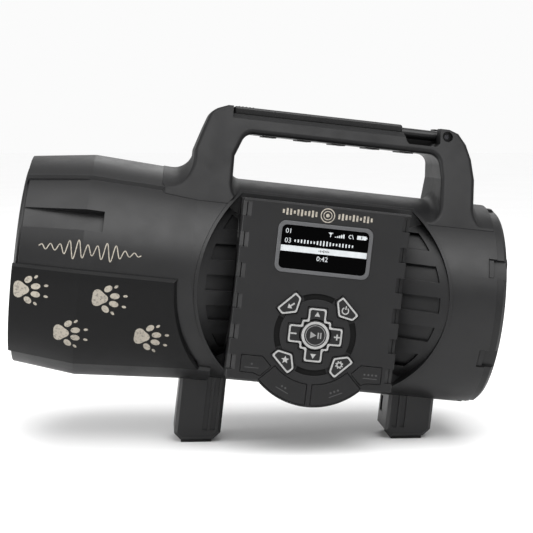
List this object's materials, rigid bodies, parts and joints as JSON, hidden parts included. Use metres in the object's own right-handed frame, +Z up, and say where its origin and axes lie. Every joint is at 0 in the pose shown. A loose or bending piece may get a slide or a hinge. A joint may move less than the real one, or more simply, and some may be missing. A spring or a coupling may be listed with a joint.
{
  "type": "electronic game caller",
  "caption": "Portable horn-speaker game caller: a barrel on two legs with a carrying handle, a fold-up antenna along it and a keypad remote held in a round side dock.",
  "frame": {"origin": "on the ground, under the middle of the whole object's box", "axes": "+Z up; +X from the horn mouth towards the rear cap; -Y faces the dock and the remote"},
  "size_m": [0.3071, 0.1408, 0.2116],
  "materials": {
    "shell": "fine satin moulded texture",
    "handle": "fine satin moulded texture",
    "armour": "soft-touch overmould",
    "trim": "dark textured",
    "dock": "satin",
    "remote": "fine satin",
    "bezel": "satin",
    "window": "clear glossy over black",
    "keys": "silicone",
    "pad": "matte",
    "antenna": "satin",
    "metal": "plain",
    "pin": "blackened steel",
    "horn": "satin",
    "magnet": "enamel",
    "diaphragm": "treated cloth",
    "board": "solder mask",
    "cell": "shrink sleeve"
  },
  "bodies": {
    "housing": {"left_shell": "shell", "right_shell": "shell", "side_armour_left": "armour", "side_armour_right": "armour", "front_bezel": "trim", "front_grille": "trim", "horn_flare": "horn", "phase_plug": "horn", "driver_diaphragm": "diaphragm", "driver_magnet": "magnet", "rear_cap": "trim", "door_pin": "metal", "battery_holder": "horn", "battery_cell_1": "cell", "battery_cell_2": "cell", "battery_cell_3": "cell", "battery_cell_4": "cell", "battery_contacts": "metal", "main_board": "board", "board_components": "horn", "handle_frame": "handle", "antenna_pin": "pin", "dock_band_left": "dock", "dock_floor": "dock", "dock_band_right": "dock", "front_leg": "shell", "front_leg_pad": "pad", "rear_leg": "shell", "rear_leg_pad": "pad"},
    "antenna": {"antenna_blade": "antenna", "antenna_neck": "antenna"},
    "door": {"battery_door": "trim", "door_seal": "pad"},
    "remote": {"remote_front_shell": "remote", "remote_back_shell": "remote", "remote_hatch": "remote", "screen_bezel": "bezel", "screen_window": "window", "lcd_module": "horn", "keypad_mat": "keys", "remote_board": "board", "remote_cell_1": "cell", "remote_cell_2": "cell"},
    "back_button": {"back_key": "keys"},
    "power_button": {"power_key": "keys"},
    "favourite_button": {"favourite_key": "keys"},
    "settings_button": {"settings_key": "keys"},
    "hot_button_left": {"hot_key_left": "keys"},
    "hot_button_mid_left": {"hot_key_mid_left": "keys"},
    "hot_button_mid_right": {"hot_key_mid_right": "keys"},
    "hot_button_right": {"hot_key_right": "keys"},
    "dpad_pivot": {"dpad_pivot_ring": "metal"},
    "dpad": {"dpad_key": "keys"},
    "enter_button": {"enter_key": "keys"}
  },
  "joints": [
    {"name": "antenna_fold", "type": "hinge", "parent": "housing", "child": "antenna", "pos_m": [0.11895, 0, 0.19185], "axis": [0, 1, 0], "range_deg": [0, 95]},
    {"name": "battery_door_hinge", "type": "hinge", "parent": "housing", "child": "door", "pos_m": [0.14446, 0, 0.04476], "axis": [0, 1, 0], "range_deg": [0, 100]},
    {"name": "remote_lift", "type": "slide", "parent": "housing", "child": "remote", "axis": [0, -1, 0], "range_m": [0, 0.06]},
    {"name": "back_press", "type": "slide", "parent": "remote", "child": "back_button", "axis": [0, 1, 0], "range_m": [0, 0.0007], "stiffness_N_per_m": 800},
    {"name": "power_press", "type": "slide", "parent": "remote", "child": "power_button", "axis": [0, 1, 0], "range_m": [0, 0.0007], "stiffness_N_per_m": 800},
    {"name": "favourite_press", "type": "slide", "parent": "remote", "child": "favourite_button", "axis": [0, 1, 0], "range_m": [0, 0.0007], "stiffness_N_per_m": 800},
    {"name": "settings_press", "type": "slide", "parent": "remote", "child": "settings_button", "axis": [0, 1, 0], "range_m": [0, 0.0007], "stiffness_N_per_m": 800},
    {"name": "hot_left_press", "type": "slide", "parent": "remote", "child": "hot_button_left", "axis": [0, 1, 0], "range_m": [0, 0.0007], "stiffness_N_per_m": 800},
    {"name": "hot_mid_left_press", "type": "slide", "parent": "remote", "child": "hot_button_mid_left", "axis": [0, 1, 0], "range_m": [0, 0.0007], "stiffness_N_per_m": 800},
    {"name": "hot_mid_right_press", "type": "slide", "parent": "remote", "child": "hot_button_mid_right", "axis": [0, 1, 0], "range_m": [0, 0.0007], "stiffness_N_per_m": 800},
    {"name": "hot_right_press", "type": "slide", "parent": "remote", "child": "hot_button_right", "axis": [0, 1, 0], "range_m": [0, 0.0007], "stiffness_N_per_m": 800},
    {"name": "enter_press", "type": "slide", "parent": "remote", "child": "enter_button", "axis": [0, 1, 0], "range_m": [0, 0.0007], "stiffness_N_per_m": 800},
    {"name": "dpad_tilt_vertical", "type": "hinge", "parent": "remote", "child": "dpad_pivot", "pos_m": [0.02996, -0.066, 0.0747], "axis": [0.994, 0, -0.1097], "range_deg": [-3, 3], "stiffness_Nm_per_rad": 0.6},
    {"name": "dpad_tilt_sideways", "type": "hinge", "parent": "dpad_pivot", "child": "dpad", "pos_m": [0.02996, -0.066, 0.0747], "axis": [0.1097, 0, 0.994], "range_deg": [-3, 3], "stiffness_Nm_per_rad": 0.6}
  ]
}
